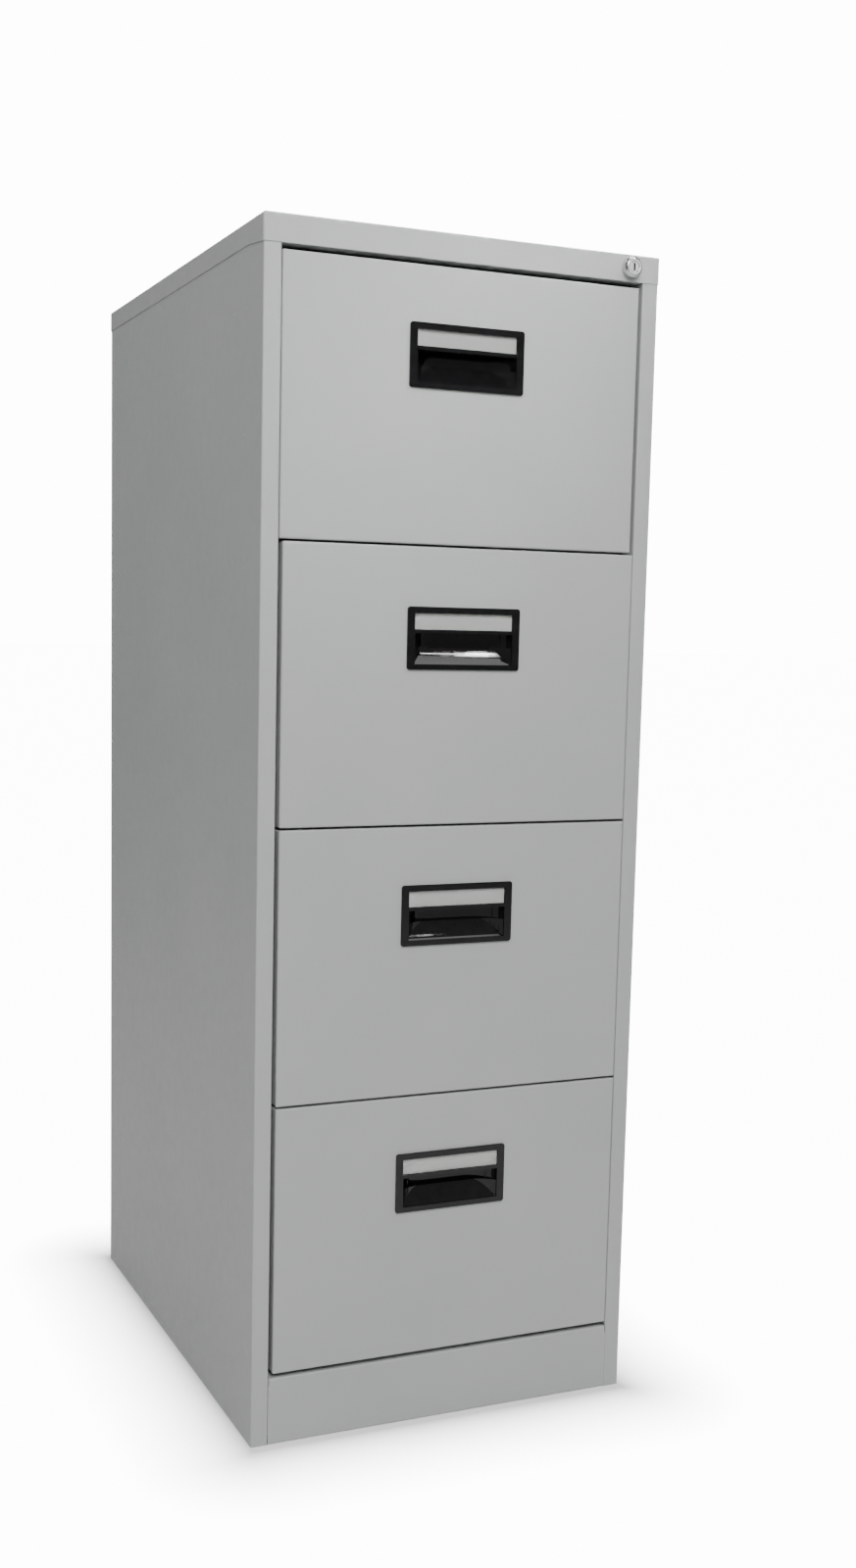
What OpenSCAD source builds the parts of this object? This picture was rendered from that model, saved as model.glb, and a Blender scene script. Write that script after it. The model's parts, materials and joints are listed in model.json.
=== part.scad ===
// Four-drawer vertical filing cabinet in folded sheet steel.
// Origin at the centre of the footprint on the floor, X across, Y front to rear, Z up.
// Every sub-part is its own module, and drawer 1 is the top one.

/* [Case] */
// Overall width, over the lips of the top cap
case_w = 470; // [462:1:480]
// Depth of the case, from the front of the top cap to its rear
case_d = 622; // [618:1:640]
// Overall height
case_h = 1321; // [1310:1:1340]
// Thickness of the sheet steel
sheet = 0.8; // [0.7:0.1:0.9]
// Inside radius of the folds
fold_r = 1.2; // [1:0.1:1.4]
// Height of the top cap's front lip
cap_h = 29.5; // [28:0.5:32]
// Height of the cap's side and rear lips
cap_side_h = 24.5; // [20:0.5:29]
// Length over which the side lips come down to the height of the front lip
cap_slope = 50; // [20:5:80]
// Width of each front stile, from the cap's side to the drawer opening
stile_w = 20.5; // [20:0.5:22]
// Depth of the fold behind each stile
stile_d = 22; // [18:1:23]
// Height of the plinth
plinth_h = 76; // [72:1:80]

/* [Drawers] */
// Height from one drawer to the next
pitch = 304.8; // [303:0.1:306]
// Height of the middle of the gap below the top drawer
first_gap_z = 992; // [988:1:995]
// Gap above the top drawer
top_gap = 6; // [3:0.5:7]
// Gap between two drawers
drawer_gap = 2.5; // [2:0.5:4]
// Gap between the bottom drawer and the plinth
plinth_gap = 5; // [3:0.5:6]
// Mean gap at each side of a drawer front
side_gap = 2.75; // [2.5:0.25:4]
// Thickness of a drawer front, skin and inner sheet together
front_t = 26; // [25:0.5:27]
// Height of the tray's sides
tray_h = 235; // [230:1:240]
// How far a drawer opens
travel = 540; // [400:10:540]

/* [Handle] */
// Width of the moulded handle's rim
handle_w = 136; // [130:1:142]
// Height of the rim
handle_h = 68; // [66:1:70]
// Distance from the rim up to the top edge of the top drawer's front
top_handle_drop = 60; // [50:0.5:75]
// The same distance on the other drawers
handle_drop = 64.5; // [50:0.5:75]
// How far the rim stands proud of the drawer front
rim_t = 2; // [1.5:0.5:3]
// Depth of the finger space behind the drawer's face
cup_d = 20.5; // [19:0.5:21]
// Width of the label window
window_w = 119; // [110:1:119]
// Height of the label window
window_h = 17.5; // [14:0.5:17.5]

/* [Slides] */
// Length of the fixed member of each slide
slide_len = 550; // [520:5:550]
// Overall thickness of a slide
slide_t = 12.7; // [12.7:0.1:13]

/* [Lock] */
// Distance from the lock's axis to the cabinet's right side
lock_inset = 38; // [37:0.5:41]
// Distance from the lock's axis to the top
lock_drop = 15; // [14.5:0.5:15.5]
// Radius of the lock's face
lock_r = 11.3; // [10:0.1:11.5]
// How far the lock stands proud of the case
lock_proud = 9; // [4:0.5:10]
// Radius at which the cam's pin turns
cam_r = 8; // [7:0.5:8]

/* [Hidden] */
$fn = 64;
eps = 0.01;
drawers = [1 : 4];
n_drawers = 4;

// Planes of the case
front = (lock_proud - case_d) / 2;      // front of the top cap
rear = front + case_d;                  // rear of the top cap
face = front + sheet;                   // front of the stiles, the plinth and the drawers
side_x = case_w / 2 - sheet;            // outside of the side panels
side_in = side_x - sheet;               // inside of the side panels
opening_x = case_w / 2 - stile_w;       // edge of the drawer opening
cap_z = case_h - cap_h;                 // lower edge of the cap's lips
outer_r = fold_r + sheet;               // outside radius of the folds
shell_top = case_h - sheet - outer_r;   // top of the side and back panels
cap_r = outer_r + sheet;                // the cap's edges wrap round the corners of the sides
flange = 16;                            // width of the flanges at the floor and the rear
pan_top = plinth_h - 8;                 // top of the base pan

// Drawer fronts: drawer 1 hangs slightly to the left, the others slightly to the right
front_w = 2 * (opening_x - side_gap);
front_shift = [-1.85, 2.1, 2.1, 2.1];
lip = 10;                               // width of the lip round the back of a front
function gap_z(n) = first_gap_z - (n - 1) * pitch;
function base_z(n) = n < n_drawers ? gap_z(n) + drawer_gap / 2 : plinth_h + plinth_gap;
function top_z(n) = n > 1 ? gap_z(n - 1) - drawer_gap / 2 : cap_z - top_gap;

// Trays
slide_face = opening_x - 0.5;           // plane that the slides are screwed to
tray_x = slide_face - slide_t;          // outside of a tray's sides
tray_y0 = face + front_t;
tray_y1 = rear - 31;
rim_w = 5;                              // width of the folded rim on a tray's sides
function tray_z(n) = gap_z(n) + 19;
rail_x = tray_x - 8.8;                  // inner face of a file rail
rail_t = 2.5;
rail_h = 14;
rail_rise = 4;                          // how far a file rail stands above the tray

// Finger space of a handle, down from the rim's top edge
bar_low = -28.5;                        // lower edge of the label holder, which is the pull
sill = 6 - handle_h;                    // lower edge of the finger space
ramp_top = -43;                         // top of the hollow ramp that closes it below
ramp_r = 72;                            // radius of the ramp
ramp_lip = 48.5;                        // slope of the ramp at the sill
ramp_d = 12.5;                          // depth of the ramp's swept ends
end_x = 59;                             // ends of the finger space
cup_wall = 1.5;

// Slides. Sections are drawn from the mounting face inwards.
gauge = 1.2;
slide_y0 = face + 30;
slide_y1 = slide_y0 + slide_len;
member_len = slide_len - 4;             // length of the two moving members
outer_half = 22.8;
mid_half = 17.9;
inner_half = 13;
ball_r = 1.75;
cage_len = 200;
cage_t = 0.4;
balls = 5;                              // balls in each row of a cage
function slide_z(n) = tray_z(n) + 60;

// Uprights, seen from above: a top-hat section against the side panel
hat_w = 50;
hat_flange = 11;
upright_y = [slide_y0 + 20, slide_y1 - 20 - hat_w];
screw_r = 2;
screw_len = 8;
screw_up = 12;                          // screws sit this far above and below a slide's middle
function screw_y() = [for (y = upright_y) y + hat_w / 2];

// Lock
lock_x = case_w / 2 - lock_inset;
lock_z = case_h - lock_drop;
barrel_r = 8.5;
barrel_len = 20;
plug_r = 6;
pin_r = 2.5;
half_turn = 45;                         // the cam's pin starts this far below level and ends as far above
pin_z = lock_z - cam_r * sin(half_turn);
bar_lift = 2 * cam_r * sin(half_turn);
bar_t = 2;
bar_x = [216, 230];
bar_y = front + 30.8;                   // front face of the lock bar
cam_y = front + 23.2;
cam_t = 2.8;
hook_h = 10;
hook_gap = 6;                           // clear height between an open hook and its catch
function catch_z(n) = gap_z(n) + 216;

function per_drawer(end) = [for (n = drawers) str("drawer_", n, end)];
function per_slide(end) = [for (n = drawers) str("slide_", n, end)];

// ---------------------------------------------------------------- shared shapes

// Extrudes a profile drawn in X and Z along Y
module prism_y(y0, y1)
    translate([0, y1, 0]) rotate([90, 0, 0]) linear_extrude(y1 - y0) children();

// Extrudes a profile drawn in Y and Z along X
module prism_x(x0, x1)
    translate([x0, 0, 0]) rotate([90, 0, 90]) linear_extrude(x1 - x0) children();

// A round bar along Y
module rod_y(r, y0, y1, r_end = -1)
    translate([0, y0, 0]) rotate([-90, 0, 0])
        cylinder(r1 = r, r2 = r_end < 0 ? r : r_end, h = y1 - y0);

// A box given by two corners
module block(low, high) translate(low) cube(high - low);

// The shape and its mirror image across the cabinet
module pair() {
    children();
    mirror([1, 0, 0]) children();
}

module rounded_rect(w, h, r) {
    square([w - 2 * r, h], center = true);
    square([w, h - 2 * r], center = true);
    for (x = [-1, 1], y = [-1, 1]) translate([x * (w / 2 - r), y * (h / 2 - r)]) circle(r);
}

// A block on z = 0 whose upright and top edges are rounded
module lid_block(w, d, h, r)
    intersection() {
        linear_extrude(h) rounded_rect(w, d, r);
        prism_y(-d / 2, d / 2) rounded_rect(w, 2 * h, r);
        prism_x(-w / 2, w / 2) rounded_rect(d, 2 * h, r);
    }

function unit(a, b) = (b - a) / norm(b - a);

// Edge view of a sheet folded along a path of square corners; the path is the sheet's middle line
module folded(path, t = sheet, r = fold_r) {
    mid_r = r + t / 2;
    out_r = r + t;
    last = len(path) - 1;
    for (i = [0 : last - 1]) {
        along = unit(path[i], path[i + 1]);
        a = path[i] + (i > 0 ? mid_r : 0) * along;
        b = path[i + 1] - (i + 1 < last ? mid_r : 0) * along;
        run = b - a;
        translate((a + b) / 2)
            square([abs(run.x) + t * abs(along.y), abs(run.y) + t * abs(along.x)], center = true);
    }
    for (i = [1 : 1 : last - 1]) {
        before = unit(path[i - 1], path[i]);
        after = unit(path[i], path[i + 1]);
        centre = path[i] + mid_r * (after - before);
        intersection() {
            translate(centre) difference() {
                circle(out_r);
                circle(r);
            }
            translate(centre + out_r / 2 * (before - after)) square(out_r, center = true);
        }
    }
}

// ---------------------------------------------------------------- case

// Right-hand side panel: stile, side and rear flange folded from one sheet, with a floor flange
module side_panel() {
    mid = sheet / 2;
    rear_y = rear - 2 * sheet - mid;
    linear_extrude(shell_top) folded([
        [opening_x + mid, face + stile_d],
        [opening_x + mid, face + mid],
        [side_x - mid, face + mid],
        [side_x - mid, rear_y],
        [side_x - flange, rear_y]
    ]);
    block([side_x - flange, face + stile_d + 2, 0], [side_x - mid, rear_y - 2, sheet]);
}

module side_right() color("silver") side_panel();

module side_left() color("silver") mirror([1, 0, 0]) side_panel();

module back_panel() color("silver") {
    edge = side_x - outer_r;
    y1 = rear - sheet;
    block([-edge, y1 - sheet, 0], [edge, y1, shell_top]);
    block([flange - side_x + 1, y1 - flange, 0], [side_x - flange - 1, y1 - sheet / 2, sheet]);
}

// A shallow lid whose front lip folds back under itself and carries the lock
module top_cap() color("silver") difference() {
    union() {
        translate([0, (front + rear) / 2, cap_z]) difference() {
            lid_block(case_w, case_d, cap_h, cap_r);
            translate([0, 0, -1])
                lid_block(case_w - 2 * sheet, case_d - 2 * sheet, cap_h - sheet + 1, outer_r);
        }
        block([1 - opening_x, front + sheet / 2, cap_z], [opening_x - 1, front + 20, cap_z + sheet]);
    }
    translate([lock_x, 0, lock_z]) rod_y(barrel_r + 0.1, front - 1, face + 1);
    side_z = case_h - cap_side_h;
    pair() prism_x(side_x - 2, case_w / 2 + 1) polygon([
        [front + 4, cap_z], [front + cap_slope, side_z],
        [rear + 1, side_z], [rear + 1, cap_z - 1], [front + 4, cap_z - 1]
    ]);
    block([-case_w, rear - outer_r, cap_z - 1], [case_w, rear + 1, side_z]);
}

// Kick plate between the stiles, relieved at its upper corners
module plinth() color("silver") {
    mid = sheet / 2;
    difference() {
        prism_x(-opening_x, opening_x) folded([
            [face + 20, plinth_h - mid],
            [face + mid, plinth_h - mid],
            [face + mid, mid],
            [face + 20, mid]
        ]);
        pair() block([opening_x - 1.2, face - 1, plinth_h - 8], [opening_x + 1, face + 21, plinth_h + 1]);
    }
}

// Floor of the case, with a flange down each side
module base_pan() color("silver") {
    x = side_in - sheet / 2;
    z = pan_top - sheet / 2;
    prism_y(face + stile_d + 1, rear - 3 * sheet - 1)
        folded([[-x, z - 25], [-x, z], [x, z], [x, z - 25]]);
}

// Top-hat uprights that carry the slides; k picks the front or the rear pair
module uprights(k) color("silver") pair() {
    y = upright_y[k];
    wall = side_in - sheet / 2;
    web = slide_face + sheet / 2;
    difference() {
        translate([0, 0, pan_top]) linear_extrude(case_h - 8 - pan_top) folded([
            [wall, y], [wall, y + hat_flange],
            [web, y + hat_flange], [web, y + hat_w - hat_flange],
            [wall, y + hat_w - hat_flange], [wall, y + hat_w]
        ]);
        for (n = drawers, up = [-1, 1])
            translate([slide_face, screw_y()[k], slide_z(n) + up * screw_up])
                rotate([0, 90, 0]) translate([0, 0, -1]) cylinder(r = screw_r + 0.05, h = sheet + 2);
    }
}

// Ties between the front uprights, one behind each gap between two drawers
module cross_rails() color("silver") for (n = [2 : n_drawers]) {
    y = upright_y[0] + hat_flange + 3;
    z = gap_z(n - 1) - 14;
    prism_x(-slide_face, slide_face) folded([[y + 22, z], [y, z], [y, z + 24], [y + 22, z + 24]]);
}

// ---------------------------------------------------------------- slides

// One right-hand slide member: a channel whose web starts at web and whose edges reach tip
module member(web, tip, half, t, y0, len, r = 0.6)
    prism_y(y0, y0 + len) translate([slide_face, 0]) mirror([1, 0]) {
        w = tip > web ? web + t / 2 : web - t / 2;
        folded([[tip, half - t / 2], [w, half - t / 2], [w, t / 2 - half], [tip, t / 2 - half]], t, r);
    }

// Fixed members of all eight slides, countersunk for their screws and closed by a stop at the rear
module slide_outer_members() color("lightgray")
    for (n = drawers) translate([0, 0, slide_z(n)]) pair() {
        difference() {
            member(0, 10.5, outer_half, gauge, slide_y0, slide_len);
            for (y = screw_y(), up = [-1, 1])
                translate([slide_face, y, up * screw_up]) rotate([0, -90, 0])
                    translate([0, 0, -eps])
                        cylinder(r1 = screw_r + 0.1, r2 = screw_r + gauge + 0.1, h = gauge + 2 * eps);
        }
        block([slide_face - 9, slide_y1 - gauge, -6], [slide_face - gauge / 2, slide_y1, 6]);
    }

module slide_screws() color("gray")
    for (n = drawers, y = screw_y(), up = [-1, 1])
        translate([0, y, slide_z(n) + up * screw_up]) pair() translate([slide_face, 0, 0]) {
            rotate([0, -90, 0]) cylinder(r1 = screw_r, r2 = screw_r + gauge - 0.1, h = gauge - 0.1);
            rotate([0, 90, 0]) cylinder(r = screw_r, h = screw_len);
        }

module mid_members(n) color("lightgray") translate([0, 0, slide_z(n)]) pair()
    member(2, 10.2, mid_half, gauge, slide_y0, member_len);

// One ball cage: a thin channel with a row of balls in each edge
module cage(web, tip, row_z, row_u, y0) {
    member(web, tip, row_z + cage_t / 2, cage_t, y0, cage_len, 0.3);
    for (i = [0 : balls - 1], side = [-1, 1])
        translate([slide_face - row_u, y0 + cage_len * (i + 0.5) / balls, side * row_z]) sphere(ball_r);
}

// The cage in the fixed member is to the rear and the one on the drawer's member to the front,
// so that both stay between their races over the whole travel
module ball_cages(n) color("goldenrod") translate([0, 0, slide_z(n)]) pair() {
    outer_row = (outer_half - gauge + mid_half) / 2;
    inner_row = (mid_half - gauge + inner_half) / 2;
    cage(1.4, 8.5, outer_row, 6, slide_y0 + 300);
    cage(3.6, 9.5, inner_row, 7.3, slide_y0 + 50);
}

// Drawer members of both slides, and the catch for the lock's hook beside the right one
module runners(n) color("lightgray") {
    translate([0, 0, slide_z(n)]) pair()
        member(slide_t, 4.4, inner_half, gauge, slide_y0, member_len);
    y = bar_y + 1;
    translate([tray_x, 0, catch_z(n)]) {
        block([0, y, 0], [11, y + 2, 12]);
        block([0, y, 0], [gauge, y + 19, 12]);
    }
}

// ---------------------------------------------------------------- drawers

// Moves a piece in X and Z to the top middle of a handle's rim
module at_handle(n)
    translate([front_shift[n - 1], face, top_z(n) - (n > 1 ? handle_drop : top_handle_drop)]) children();

// Painted skin: a pan with a lip round its open back and a cut-out for the handle
module drawer_front(n) color("silver") {
    depth = front_t - sheet;
    front_h = top_z(n) - base_z(n);
    mid_z = base_z(n) + front_h / 2;
    difference() {
        translate([front_shift[n - 1], face + depth, mid_z]) rotate([90, 0, 0]) difference() {
            lid_block(front_w, front_h, depth, outer_r);
            translate([0, 0, sheet])
                lid_block(front_w - 2 * sheet, front_h - 2 * sheet, depth - 2 * sheet, fold_r);
            translate([0, 0, -1]) linear_extrude(sheet + 2)
                square([front_w - 2 * lip, front_h - 2 * lip], center = true);
        }
        at_handle(n) block([5 - handle_w / 2, -1, 3.5 - handle_h], [handle_w / 2 - 5, sheet + 1, -5]);
    }
}

// Flat sheet that closes the back of the front
module inner_front(n) color("silver") {
    half = front_w / 2 - 3;
    translate([front_shift[n - 1], 0, 0])
        block([-half, tray_y0 - sheet, base_z(n) + 3], [half, tray_y0, top_z(n) - 3]);
}

// Bottom and sides in one sheet, with a rim folded outwards along each side
module tray(n) color("silver") {
    mid = sheet / 2;
    x = tray_x - mid;
    rim_x = x + rim_w;
    low = tray_z(n) + mid;
    high = tray_z(n) + tray_h - mid;
    prism_y(tray_y0, tray_y1) folded([
        [-rim_x, high - 5], [-rim_x, high], [-x, high], [-x, low],
        [x, low], [x, high], [rim_x, high], [rim_x, high - 5]
    ]);
}

module drawer_back(n) color("silver") {
    x = tray_x - 1.5 * sheet;
    y = tray_y1 - sheet / 2;
    translate([0, 0, tray_z(n) + outer_r]) linear_extrude(tray_h - outer_r)
        folded([[x, y - 12], [x, y], [-x, y], [-x, y - 12]]);
}

// Pair of bars that hanging files hook over
module file_rails(n) color("lightgray") pair() {
    z = tray_z(n) + tray_h + rail_rise;
    block([rail_x, tray_y0, z - rail_h], [rail_x + rail_t, tray_y1 - sheet, z]);
}

// Section through the ramp and the space over it, in Y and Z; grow thickens it
module ramp_section(grow = 0) {
    centre_z = sill + ramp_r * cos(ramp_lip);
    intersection() {
        translate([-ramp_r * sin(ramp_lip), centre_z]) circle(ramp_r + grow, $fn = 200);
        translate([-3, sill - grow]) square([3 + 2 * ramp_d, ramp_top + eps - sill + grow]);
    }
}

// Section through the space above the ramp, where the fingers reach up behind the pull
module pull_section(top, grow = 0) {
    rear = cup_d + grow + 1;
    translate([-3, ramp_top - grow]) square([3 + rear, bar_low - ramp_top + grow]);
    translate([4.5, bar_low - eps]) square([rear - 4.5, top - bar_low + eps]);
}

// Plan of the finger space: a straight rear wall at depth d whose ends sweep round to the front
module cup_plan(d, flat, grow = 0) {
    w = end_x - flat;
    r = (w * w + d * d) / (2 * d);
    intersection() {
        union() {
            for (x = [-1, 1]) translate([x * flat, d - r]) circle(r + grow, $fn = 96);
            translate([-flat, -3]) square([2 * flat, 3 + d + grow]);
        }
        translate([-end_x - grow, -3]) square([2 * (end_x + grow), 3 + d + grow]);
    }
}

// The finger space itself, or with grow the outside of the cup round it
module finger_space(top, grow = 0) {
    x = end_x + grow;
    intersection() {
        prism_x(-x, x) ramp_section(grow);
        translate([0, 0, -handle_h]) linear_extrude(handle_h) cup_plan(ramp_d, 31, grow);
    }
    intersection() {
        prism_x(-x, x) pull_section(top, grow);
        translate([0, 0, -handle_h]) linear_extrude(handle_h) cup_plan(cup_d, 29, grow);
    }
}

// Black moulding: rim, label holder that is also the pull, and a scooped cup behind it
module handle(n) color("black") at_handle(n) {
    window_top = -7;
    difference() {
        union() {
            translate([0, 0, -handle_h / 2]) prism_y(-rim_t, 0) rounded_rect(handle_w, handle_h, 3);
            intersection() {
                union() {
                    finger_space(-5.5, cup_wall);
                    block([-end_x - cup_wall, -1, bar_low - 1], [end_x + cup_wall, 7, -5.5]);
                }
                block([-handle_w, -1, -handle_h], [handle_w, cup_d + cup_wall, 0]);
            }
            for (x = [-1, 1], z = [-16, -36])
                translate([x * (end_x + cup_wall + 1.5), sheet + 2.2, z]) cube([5, 4, 9], center = true);
        }
        finger_space(-8.5);
        block([-window_w / 2, -3, window_top - window_h], [window_w / 2, 1.1, window_top]);
        block(
            [-window_w / 2 - 1.2, 1, window_top - window_h - 0.8],
            [window_w / 2 + 1.2, 1.6, window_top + 0.8]
        );
    }
}

module label_card(n) color("white") at_handle(n)
    block([-window_w / 2 - 1, 1.1, -7.6 - window_h], [window_w / 2 + 1, 1.5, -6.4]);

// ---------------------------------------------------------------- lock

module at_lock() translate([lock_x, 0, lock_z]) children();

// Fixed body of the lock, through the cap's front lip
module lock_barrel() color("gainsboro") at_lock() difference() {
    chamfer = 2.4;
    union() {
        rod_y(lock_r - chamfer, front - lock_proud, front - lock_proud + chamfer, lock_r);
        rod_y(lock_r, front - lock_proud + chamfer, front);
        rod_y(barrel_r, front, front + barrel_len);
    }
    rod_y(plug_r + 0.08, front - lock_proud - 1, front + barrel_len + 1);
}

module lock_nut() color("gray") at_lock() difference() {
    translate([0, face, 0]) rotate([-90, 30, 0]) cylinder(r = 12.6, h = 4, $fn = 6);
    rod_y(barrel_r + 0.05, face - 1, face + 5);
}

// Turning part of the lock, with its keyway and the square that drives the cam
module lock_plug() color("gainsboro") at_lock() difference() {
    union() {
        rod_y(plug_r, front - lock_proud + 0.6, cam_y - 0.2);
        block([-3.5, cam_y - 0.3, -3.5], [3.5, cam_y + cam_t, 3.5]);
    }
    block([-0.9, front - lock_proud, -4], [0.9, front - lock_proud + 12, 4]);
}

// Cam plate with the pin that lifts the bar
module lock_cam() color("gray") at_lock() rotate([0, half_turn, 0]) {
    difference() {
        prism_y(cam_y, cam_y + cam_t) {
            circle(6.5);
            translate([0, -4.2]) square([cam_r, 8.4]);
            translate([cam_r, 0]) circle(4.2);
        }
        rotate([0, -half_turn, 0]) block([-3.55, cam_y - 1, -3.55], [3.55, cam_y + cam_t + 1, 3.55]);
    }
    translate([cam_r, 0, 0]) rod_y(pin_r, cam_y + cam_t - eps, bar_y + bar_t + 1.4);
}

module lock_cam_screw() color("gray") at_lock() {
    rod_y(4.4, cam_y + cam_t, cam_y + cam_t + 2.6);
}

// Flat bar that runs down behind the right stile; its head is slotted for the cam's pin
module lock_bar() color("lightgray") {
    slot = [cam_r * cos(half_turn) - pin_r - 0.7, cam_r + pin_r + 0.6];
    difference() {
        union() {
            block([bar_x[0], bar_y, catch_z(n_drawers) - 26], [bar_x[1], bar_y + bar_t, pin_z + 6]);
            block([lock_x + slot[0] - 2.2, bar_y, pin_z - 6], [bar_x[1], bar_y + bar_t, pin_z + 6]);
        }
        translate([lock_x, 0, pin_z])
            block([slot[0], bar_y - 1, -pin_r - 0.5], [slot[1], bar_y + bar_t + 1, pin_r + 0.5]);
    }
}

// One hook for each drawer, riveted to the front of the bar
module lock_hooks() color("gray") for (n = drawers)
    block([206.5, bar_y - bar_t, catch_z(n) - hook_gap - hook_h], [226, bar_y, catch_z(n) - hook_gap]);

// Loops on the side panel that keep the bar upright
module lock_bar_guides() color("gray") for (n = [1 : n_drawers - 1])
    translate([0, 0, catch_z(n) - 155]) difference() {
        block([bar_x[0] - 1.4, bar_y - 1.6, 0], [side_in, bar_y + bar_t + 1.6, 14]);
        block([bar_x[0] - 0.4, bar_y - 0.4, -1], [bar_x[1] + 0.4, bar_y + bar_t + 0.4, 15]);
    }

// ---------------------------------------------------------------- nodes

side_left();
side_right();
back_panel();
top_cap();
plinth();
base_pan();
cross_rails();
uprights(0);  // uprights_front
uprights(1);  // uprights_rear
slide_outer_members();
slide_screws();
lock_barrel();
lock_nut();
lock_plug();
lock_cam();
lock_cam_screw();
lock_bar();
lock_hooks();
lock_bar_guides();
for (n = drawers) {
    drawer_front(n);
    inner_front(n);
    tray(n);
    drawer_back(n);
    file_rails(n);
    handle(n);
    label_card(n);
    runners(n);
    mid_members(n);
    ball_cages(n);
}
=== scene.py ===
import json
import math

import bmesh
import bpy
from mathutils import Matrix, Quaternion, Vector


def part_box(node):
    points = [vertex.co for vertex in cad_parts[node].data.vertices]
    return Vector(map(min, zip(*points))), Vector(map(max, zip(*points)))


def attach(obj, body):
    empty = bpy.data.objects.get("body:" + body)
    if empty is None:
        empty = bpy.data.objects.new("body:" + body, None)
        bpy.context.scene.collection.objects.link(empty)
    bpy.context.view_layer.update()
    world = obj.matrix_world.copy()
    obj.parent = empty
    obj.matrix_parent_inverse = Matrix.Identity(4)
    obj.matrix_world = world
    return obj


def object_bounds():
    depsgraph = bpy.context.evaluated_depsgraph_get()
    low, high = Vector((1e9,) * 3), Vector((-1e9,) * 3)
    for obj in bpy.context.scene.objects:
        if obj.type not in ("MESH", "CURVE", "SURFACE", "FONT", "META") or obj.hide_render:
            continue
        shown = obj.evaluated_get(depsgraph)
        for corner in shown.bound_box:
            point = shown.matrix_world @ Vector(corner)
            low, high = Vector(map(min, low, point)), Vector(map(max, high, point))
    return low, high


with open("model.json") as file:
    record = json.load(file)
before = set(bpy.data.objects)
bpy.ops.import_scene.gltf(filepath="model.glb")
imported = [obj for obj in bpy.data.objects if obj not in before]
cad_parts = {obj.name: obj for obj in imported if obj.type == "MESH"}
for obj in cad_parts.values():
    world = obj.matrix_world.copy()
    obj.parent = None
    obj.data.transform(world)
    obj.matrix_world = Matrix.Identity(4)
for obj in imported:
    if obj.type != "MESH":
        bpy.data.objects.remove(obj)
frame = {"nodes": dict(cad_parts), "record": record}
CAD_BOX = [list(v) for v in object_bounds()]
NODES = frame["nodes"]
RECORD = frame["record"]
DRAWERS = range(1, 5)
MM = 0.001


# ---------------------------------------------------------------- node helpers

class Shader:
    """A node material with a Principled shader, and short ways to add nodes to it."""

    def __init__(self, name, **values):
        self.material = bpy.data.materials.new(name)
        self.material.use_nodes = True
        self.tree = self.material.node_tree
        self.principled = self.tree.nodes["Principled BSDF"]
        for socket, value in values.items():
            self.principled.inputs[socket.replace("_", " ")].default_value = value

    def node(self, kind, **inputs):
        node = self.tree.nodes.new(kind)
        for name, value in inputs.items():
            socket = node.inputs[name.replace("_", " ")]
            if isinstance(value, bpy.types.NodeSocket):
                self.tree.links.new(value, socket)
            else:
                socket.default_value = value
        return node

    def place(self, scale=(1, 1, 1)):
        """Position on the object, in metres, stretched by scale."""
        coords = self.tree.nodes.new("ShaderNodeTexCoord")
        mapping = self.node("ShaderNodeMapping", Vector=coords.outputs["Object"], Scale=scale)
        return mapping.outputs["Vector"]

    def noise(self, scale, detail=2, roughness=0.5, stretch=(1, 1, 1)):
        return self.node("ShaderNodeTexNoise", Vector=self.place(stretch), Scale=scale, Detail=detail,
                         Roughness=roughness).outputs["Fac"]

    def spread(self, value, low, high, start=0.3, end=0.7):
        """value from start to end becomes low to high."""
        node = self.tree.nodes.new("ShaderNodeMapRange")
        for name, v in (("From Min", start), ("From Max", end), ("To Min", low), ("To Max", high)):
            node.inputs[name].default_value = v
        self.tree.links.new(value, node.inputs["Value"])
        return node.outputs["Result"]

    def tint(self, factor, a, b):
        node = self.tree.nodes.new("ShaderNodeMix")
        node.data_type = "RGBA"
        self.tree.links.new(factor, node.inputs["Factor"])
        node.inputs["A"].default_value = (*a, 1)
        node.inputs["B"].default_value = (*b, 1)
        return node.outputs["Result"]

    def vector(self, operation, *operands):
        """A sum with vectors; LENGTH gives a number."""
        node = self.tree.nodes.new("ShaderNodeVectorMath")
        node.operation = operation
        for socket, value in zip(node.inputs, operands):
            if isinstance(value, bpy.types.NodeSocket):
                self.tree.links.new(value, socket)
            else:
                socket.default_value = value
        return node.outputs["Value" if operation == "LENGTH" else "Vector"]

    def product(self, a, b):
        node = self.tree.nodes.new("ShaderNodeMath")
        node.operation = "MULTIPLY"
        self.tree.links.new(a, node.inputs[0])
        self.tree.links.new(b, node.inputs[1])
        return node.outputs["Value"]

    def bump(self, height, strength, distance, under=None):
        node = self.node("ShaderNodeBump", Height=height, Strength=strength, Distance=distance)
        if under is not None:
            self.tree.links.new(under, node.inputs["Normal"])
        return node.outputs["Normal"]

    def use(self, **sockets):
        for name, output in sockets.items():
            self.tree.links.new(output, self.principled.inputs[name.replace("_", " ")])
        return self.material


# ---------------------------------------------------------------- materials

def painted_steel():
    """Light grey powder coat: fine orange peel, and panels that aren't quite flat."""
    s = Shader("painted_steel", Roughness=0.42, IOR=1.5)
    cloud = s.noise(5.0, 3)
    colour = s.tint(s.spread(cloud, 0, 1), (0.395, 0.415, 0.403), (0.418, 0.437, 0.425))
    waves = s.bump(s.noise(4.0, 1, stretch=(1, 1, 0.7)), 0.25, 0.004)
    peel = s.bump(s.noise(700.0, 2), 0.12, 0.0002, waves)
    return s.use(Base_Color=colour, Roughness=s.spread(s.noise(60.0, 3), 0.36, 0.46), Normal=peel)


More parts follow.
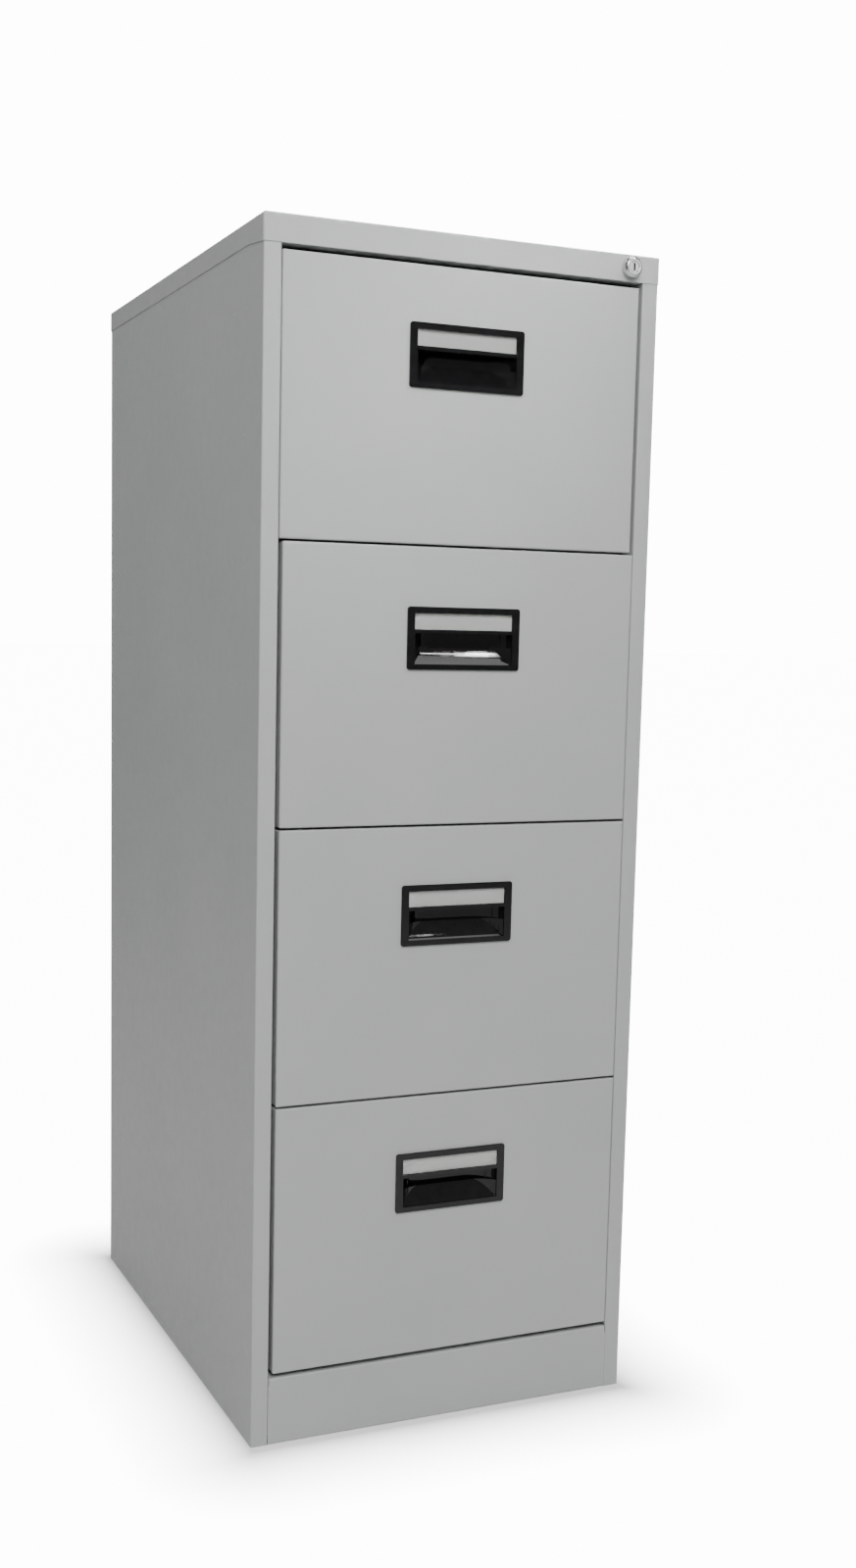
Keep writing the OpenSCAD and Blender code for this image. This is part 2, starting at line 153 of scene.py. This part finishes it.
def zinc_steel():
    """Cold-rolled steel, zinc plated: long drawing lines and faint cloudy patches."""
    s = Shader("zinc_steel", Metallic=1.0, Roughness=0.34)
    patches = s.noise(45.0, 4, 0.6)
    colour = s.tint(s.spread(patches, 0, 1), (0.53, 0.54, 0.55), (0.64, 0.65, 0.64))
    lines = s.noise(900.0, 2, stretch=(1, 0.02, 1))
    return s.use(Base_Color=colour, Roughness=s.spread(patches, 0.28, 0.42),
                 Normal=s.bump(lines, 0.15, 0.0002))


def bright_steel():
    """Polished balls and their thin cages, lightly greased."""
    s = Shader("bright_steel", Metallic=1.0, Roughness=0.16)
    film = s.noise(160.0, 3)
    colour = s.tint(s.spread(film, 0, 1), (0.62, 0.61, 0.57), (0.74, 0.74, 0.72))
    return s.use(Base_Color=colour, Roughness=s.spread(film, 0.1, 0.24))


def chrome():
    """Plating on the lock, a little smeared."""
    s = Shader("chrome", Metallic=1.0, Roughness=0.1)
    smear = s.noise(220.0, 3)
    colour = s.tint(s.spread(smear, 0, 1), (0.58, 0.59, 0.60), (0.66, 0.67, 0.67))
    return s.use(Base_Color=colour, Roughness=s.spread(smear, 0.07, 0.17))


def black_plastic():
    """Moulded plastic with a gloss finish and a little sink here and there."""
    s = Shader("black_plastic", Roughness=0.12, IOR=1.46)
    film = s.noise(90.0, 3)
    colour = s.tint(s.spread(film, 0, 1), (0.003, 0.003, 0.0033), (0.006, 0.006, 0.0065))
    sink = s.bump(s.noise(70.0, 1), 0.08, 0.0006)
    return s.use(Base_Color=colour, Roughness=s.spread(film, 0.05, 0.09), Normal=sink)


def card():
    """Blank white card with a faint grain."""
    s = Shader("card", Roughness=0.75)
    fibre = s.noise(1500.0, 3, stretch=(0.3, 1, 1))
    colour = s.tint(s.spread(fibre, 0, 1), (0.84, 0.84, 0.82), (0.90, 0.90, 0.88))
    return s.use(Base_Color=colour, Normal=s.bump(fibre, 0.1, 0.0001))


def clear_plastic():
    """Thin clear cover with light scuffs."""
    s = Shader("clear_plastic", Roughness=0.06, IOR=1.49, Transmission_Weight=1.0)
    s.principled.inputs["Base Color"].default_value = (0.96, 0.97, 0.96, 1)
    return s.use(Roughness=s.spread(s.noise(120.0, 3), 0.03, 0.12))


MATERIALS = {
    "painted_steel": painted_steel, "zinc_steel": zinc_steel, "bright_steel": bright_steel,
    "chrome": chrome, "black_plastic": black_plastic, "card": card,
}


def paint_nodes():
    """Gives every CAD node the material of its slot."""
    made = {name: build() for name, build in MATERIALS.items()}
    for row in RECORD["subparts"]:
        data = NODES[row["node"]].data
        data.materials.clear()
        data.materials.append(made[row["material_slot"]])
    return made


# ---------------------------------------------------------------- pieces

def soften(node, width, segments=2, angle=35):
    """Rounds a CAD node's sharp edges for the eye; its mesh stays as it is."""
    o = NODES[node]
    weld = o.modifiers.new("weld", "WELD")
    weld.merge_threshold = 1e-6
    bevel = o.modifiers.new("bevel", "BEVEL")
    bevel.width = width
    bevel.segments = segments
    bevel.limit_method = "ANGLE"
    bevel.angle_limit = math.radians(angle)
    bevel.harden_normals = True
    bevel.use_clamp_overlap = True


def new_piece(name, bm, material, body, smooth=True):
    """A visual piece that moves with a body."""
    mesh = bpy.data.meshes.new(name)
    bm.to_mesh(mesh)
    bm.free()
    for p in mesh.polygons:
        p.use_smooth = smooth
    mesh.materials.append(material)
    o = bpy.data.objects.new(name, mesh)
    bpy.context.scene.collection.objects.link(o)
    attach(o, body)
    return o


def label_window(n, material):
    """The thin clear cover that lies over the label card."""
    thickness, gap, end_margin, side_margin = 0.5 * MM, 0.3 * MM, 0.8 * MM, 0.4 * MM
    low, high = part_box(f"drawer_{n}_label_card")
    size = Vector((high.x - low.x - 2 * end_margin, thickness, high.z - low.z - 2 * side_margin))
    centre = Vector(((low.x + high.x) / 2, low.y - gap - thickness / 2, (low.z + high.z) / 2))
    bm = bmesh.new()
    bmesh.ops.create_cube(bm, size=1, matrix=Matrix.Translation(centre) @ Matrix.Diagonal((*size, 1)))
    bmesh.ops.bevel(bm, geom=bm.edges[:], offset=0.12 * MM, segments=2, affect="EDGES")
    return new_piece(f"label_window_{n}", bm, material, f"drawer_{n}", smooth=False)


def spot_welds(name, points, normal, material, body):
    """Shallow discs left in the paint by spot welds, half sunk in the sheet."""
    radius, top_radius, height = 3.0 * MM, 2.2 * MM, 0.16 * MM
    bm = bmesh.new()
    turn = Vector((0, 0, 1)).rotation_difference(Vector(normal)).to_matrix().to_4x4()
    for point in points:
        bmesh.ops.create_cone(bm, cap_ends=True, segments=24, radius1=radius, radius2=top_radius,
                              depth=height, matrix=Matrix.Translation(point) @ turn)
    return new_piece(name, bm, material, body)


def case_welds(material):
    """Welds of the uprights to the sides, and of the back panel to the sides' rear flanges."""
    count, end_gap, flange_inset, upright_inset = 10, 60 * MM, 7 * MM, 6 * MM
    low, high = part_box("back_panel")
    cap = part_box("top_cap")[0].z
    step = (cap - low.z - 2 * end_gap) / (count - 1)
    rows = [low.z + end_gap + k * step for k in range(count)]
    reach = (high.x - low.x) / 2 - flange_inset
    back = [Vector((side * reach, high.y, z)) for side in (-1, 1) for z in rows]
    spot_welds("back_welds", back, (0, 1, 0), material, "case")
    for side, node in ((-1, "side_left"), (1, "side_right")):
        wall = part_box(node)[0].x if side < 0 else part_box(node)[1].x
        points = []
        for upright in ("uprights_front", "uprights_rear"):
            near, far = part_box(upright)
            lines = (near.y + upright_inset, far.y - upright_inset)
            points += [Vector((wall, y, z)) for y in lines for z in rows]
        spot_welds(node + "_welds", points, (side, 0, 0), material, "case")


# ---------------------------------------------------------------- stage

def studio():
    """White studio: what the camera sees behind the cabinet is brighter than what lights it."""
    backdrop(seen=14.0, fill=0.26)
    # near is the floor's glow at the base, a painted shade; shade is how wide that painted shade is
    floor(half=150, away=13.0, near=0.3, shade=0.15)
    area_light("key", (-0.7, -2.7, 2.9), (0, -0.3, 0.9), 1.8, 1.8, 112)
    area_light("side", (-1.7, -0.1, 3.7), (-0.2, 0.1, 0.8), 0.9, 0.9, 25)
    area_light("top", (1.2, -0.5, 4.6), (0, -0.2, 0.6), 3.0, 3.0, 66)
    area_light("rim", (1.6, 3.0, 2.2), (0, 0.2, 0.8), 2.0, 2.0, 30)
    # Lights behind grids: one brightens the cap and the first drawer, one makes the glint in the second
    # handle's scoop, one gleams on the lock
    area_light("glow", (-0.2, -2.0, 2.9), (0, -0.31, 1.36), 0.4, 0.4, 0.33, spread=25)
    area_light("glint", (0.74, -0.975, 2.15), (0, -0.31, 1.25), 0.07, 0.3, 0.35, spread=25, turn=-35.4)
    area_light("gleam", (1.2, -1.97, 1.71), (0.2, -0.32, 1.31), 0.3, 0.3, 0.006, spread=25)


def backdrop(seen, fill):
    """A white world, of one strength to the camera and another to everything else."""
    world = bpy.data.worlds.new("studio")
    bpy.context.scene.world = world
    world.use_nodes = True
    tree = world.node_tree
    back = tree.nodes["Background"]
    back.inputs["Color"].default_value = (1, 1, 1, 1)
    path = tree.nodes.new("ShaderNodeLightPath")
    level = tree.nodes.new("ShaderNodeMapRange")
    level.inputs["To Min"].default_value = fill
    level.inputs["To Max"].default_value = seen
    tree.links.new(path.outputs["Is Camera Ray"], level.inputs["Value"])
    tree.links.new(level.outputs["Result"], back.inputs["Strength"])


def floor(half, away, near, shade):
    """A pale floor that looks as white as the backdrop, apart from a soft painted shade round the cabinet's
    base.
    """
    bm = bmesh.new()
    bmesh.ops.create_grid(bm, x_segments=1, y_segments=1, size=half)
    mesh = bpy.data.meshes.new("floor")
    bm.to_mesh(mesh)
    bm.free()
    o = bpy.data.objects.new("floor", mesh)
    bpy.context.scene.collection.objects.link(o)
    s = Shader("floor", Roughness=0.9)
    s.principled.inputs["Base Color"].default_value = (0.7, 0.7, 0.7, 1)
    s.principled.inputs["Emission Color"].default_value = (1, 1, 1, 1)
    low, high = (Vector(v) for v in CAD_BOX)
    centre, reach = (low + high) / 2, (high - low) / 2
    offset = s.vector("SUBTRACT", s.place(), (centre.x, centre.y, 0))
    beyond = s.vector("SUBTRACT", s.vector("ABSOLUTE", offset), (reach.x, reach.y, 0))
    apart = s.vector("LENGTH", s.vector("MAXIMUM", beyond, (0, 0, 0)))
    path = s.node("ShaderNodeLightPath")
    # Painted shade: the glow that only the camera sees drops from away to near within shade metres of the
    # base
    glow = s.product(s.spread(apart, near, away, 0, shade), path.outputs["Is Camera Ray"])
    mesh.materials.append(s.use(Emission_Strength=glow))


def area_light(name, at, towards, width, length, power, spread=180, turn=0):
    """A round or oval light; spread and turn, a roll about the way it faces, are in degrees."""
    data = bpy.data.lights.new(name, "AREA")
    data.shape = "ELLIPSE"
    data.size = width
    data.size_y = length
    data.energy = power
    data.spread = math.radians(spread)
    o = bpy.data.objects.new(name, data)
    o.location = at
    o.rotation_mode = "QUATERNION"
    aim = (Vector(towards) - Vector(at)).to_track_quat("-Z", "Y")
    o.rotation_quaternion = aim @ Quaternion((0, 0, 1), math.radians(turn))
    bpy.context.scene.collection.objects.link(o)


def camera():
    """Eye level with the second drawer, a little to the left of the cabinet."""
    low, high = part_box("top_cap")
    azimuth, elevation, roll = (math.radians(a) for a in (22.95, 6.71, 1.07))
    at = Vector(((low.x + high.x) / 2 - 0.825, low.y - 1.689, 0.890))
    ahead = Vector((math.sin(azimuth) * math.cos(elevation), math.cos(azimuth) * math.cos(elevation),
                    -math.sin(elevation)))
    level = Vector((math.cos(azimuth), -math.sin(azimuth), 0))
    above = level.cross(ahead)
    right = level * math.cos(roll) + above * math.sin(roll)
    up = above * math.cos(roll) - level * math.sin(roll)
    turn = Matrix((right, up, -ahead)).transposed()
    data = bpy.data.cameras.new("camera")
    data.sensor_fit = "AUTO"
    data.sensor_width = 36
    data.lens = 39.01
    data.shift_x = 0.0395
    data.shift_y = 0.0353
    o = bpy.data.objects.new("camera", data)
    o.matrix_world = Matrix.Translation(at) @ turn.to_4x4()
    bpy.context.scene.collection.objects.link(o)
    bpy.context.scene.camera = o


# ---------------------------------------------------------------- build

made = paint_nodes()
clear = clear_plastic()
for n in DRAWERS:
    soften(f"drawer_{n}_handle", 0.7 * MM, 3)
    label_window(n, clear)
soften("lock_barrel", 0.5 * MM, 3)
soften("lock_plug", 0.25 * MM, 2)
case_welds(made["painted_steel"])
studio()
camera()
